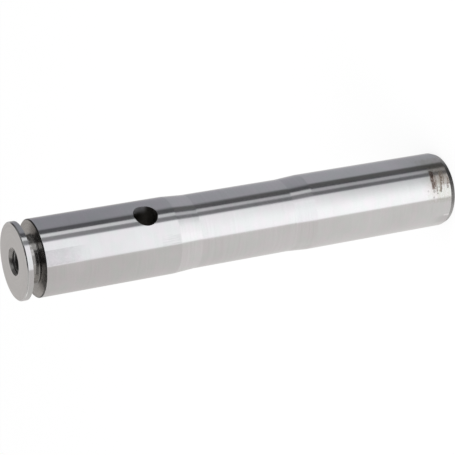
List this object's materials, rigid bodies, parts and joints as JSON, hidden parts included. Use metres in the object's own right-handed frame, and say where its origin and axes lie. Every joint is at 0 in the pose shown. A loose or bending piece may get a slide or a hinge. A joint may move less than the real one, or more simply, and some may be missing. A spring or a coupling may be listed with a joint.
{
  "type": "axle pivot pin",
  "caption": "Turned and ground steel pivot pin with a relieved waist, a cross hole for a locking bolt, a keeper groove and a tapped hole in its grooved end.",
  "frame": {"origin": "centre of the plain end face that the pin stands on", "axes": "+Z along the pin's axis, up towards the grooved end; the cross hole runs along Y and the shown mouth faces -Y; +X completes the right-handed frame"},
  "size_m": [0.05, 0.05, 0.308],
  "materials": {
    "ground_steel": "bright ground lands, fine turned faces, a little rust staining near the plain end"
  },
  "bodies": {
    "root": {"pivot_pin": "ground_steel"}
  },
  "joints": []
}
